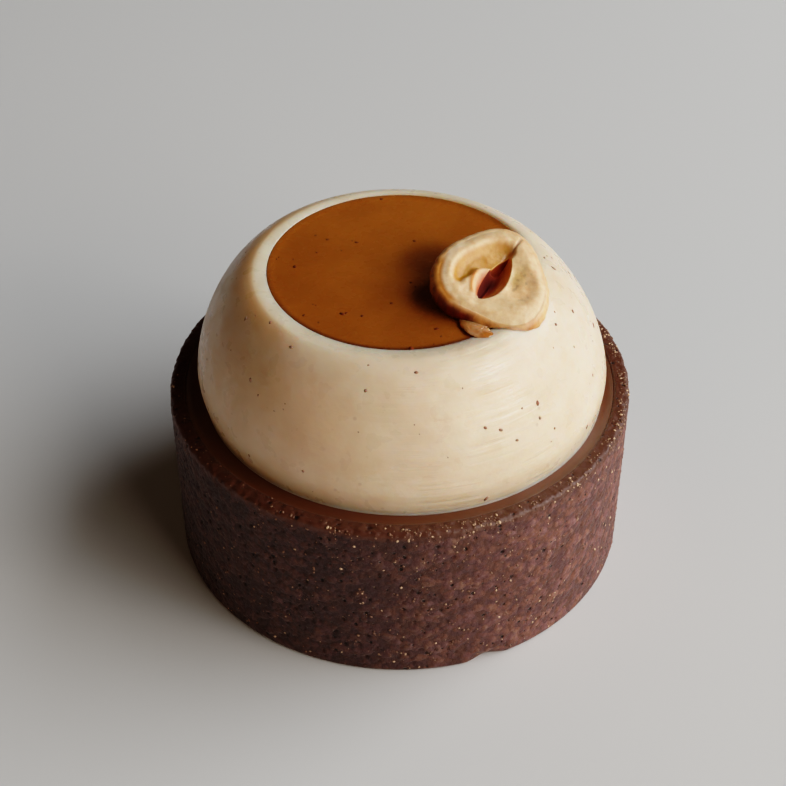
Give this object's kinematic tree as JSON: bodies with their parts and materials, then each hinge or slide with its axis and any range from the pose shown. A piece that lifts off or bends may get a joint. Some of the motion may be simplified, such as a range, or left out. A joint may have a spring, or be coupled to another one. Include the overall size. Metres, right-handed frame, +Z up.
{
  "type": "domed tartlet",
  "caption": "Round cocoa shortcrust tartlet filled with chocolate, under a cream dome with a caramel pool and half a hazelnut.",
  "frame": {"origin": "middle of the flat underside of the crust, on the surface it stands on", "axes": "+Z up through the dome, -Y towards the side seen in the picture, +X to the right of that view"},
  "size_m": [0.0502, 0.0503, 0.0386],
  "materials": {
    "crust": "sandy baked cocoa shortcrust",
    "filling": "smooth satin chocolate",
    "cream": "smooth satin cream",
    "caramel": "glossy set caramel",
    "hazelnut": "dry kernel with a thin brown skin"
  },
  "bodies": {
    "root": {"crust": "crust", "filling": "filling", "cream": "cream", "caramel": "caramel", "hazelnut": "hazelnut"}
  },
  "joints": []
}
